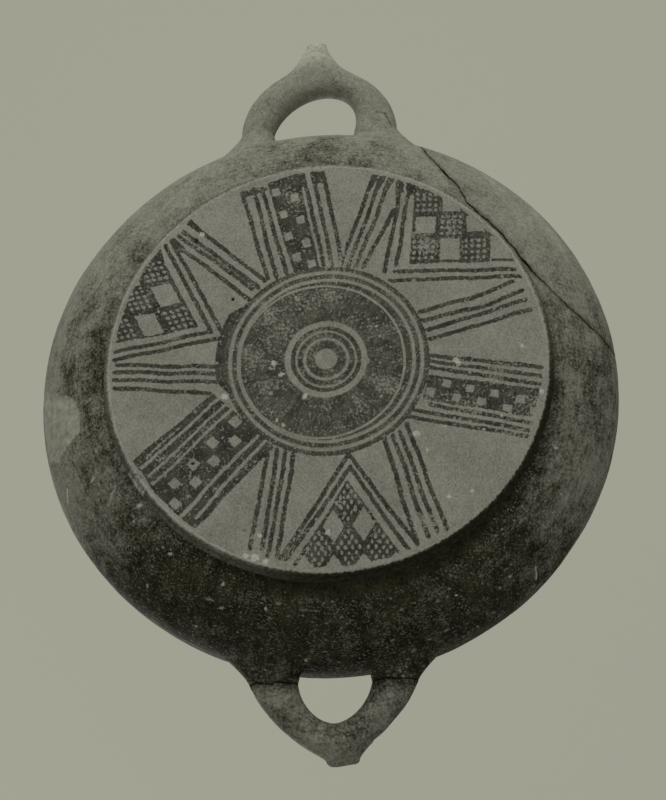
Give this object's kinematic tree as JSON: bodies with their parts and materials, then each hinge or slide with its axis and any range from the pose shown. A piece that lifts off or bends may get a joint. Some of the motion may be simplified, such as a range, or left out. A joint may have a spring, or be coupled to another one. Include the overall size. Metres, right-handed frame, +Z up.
{
  "type": "painted two-handled pottery dish",
  "caption": "Shallow round pottery dish on a low disc foot, with a horned loop handle at either end. Hand painted, broken in old times and mended.",
  "frame": {"origin": "on the foot's flat face, under the centre of the round wall", "axes": "+X towards the whole handle with the tall horn, which is at the picture's top. +Y towards the picture's right. +Z up, out of the dish's mouth, so the painted underside in the picture faces -Z"},
  "size_m": [0.3545, 0.2604, 0.049],
  "materials": {
    "painted_wall": "dark matt paint, worn and scratched, over pale fired clay",
    "pale_slip": "pale matt slip with dark painted lines and chequers",
    "worn_handle": "pale fired clay with worn dark paint"
  },
  "bodies": {
    "root": {"dish_body": "painted_wall", "rim_sherd": "painted_wall", "foot_disc": "pale_slip", "upper_handle_loop": "worn_handle", "upper_handle_horn": "worn_handle", "lower_handle_loop": "worn_handle", "lower_handle_horn": "worn_handle", "lower_handle_left_root": "painted_wall", "lower_handle_right_root": "painted_wall"}
  },
  "joints": []
}
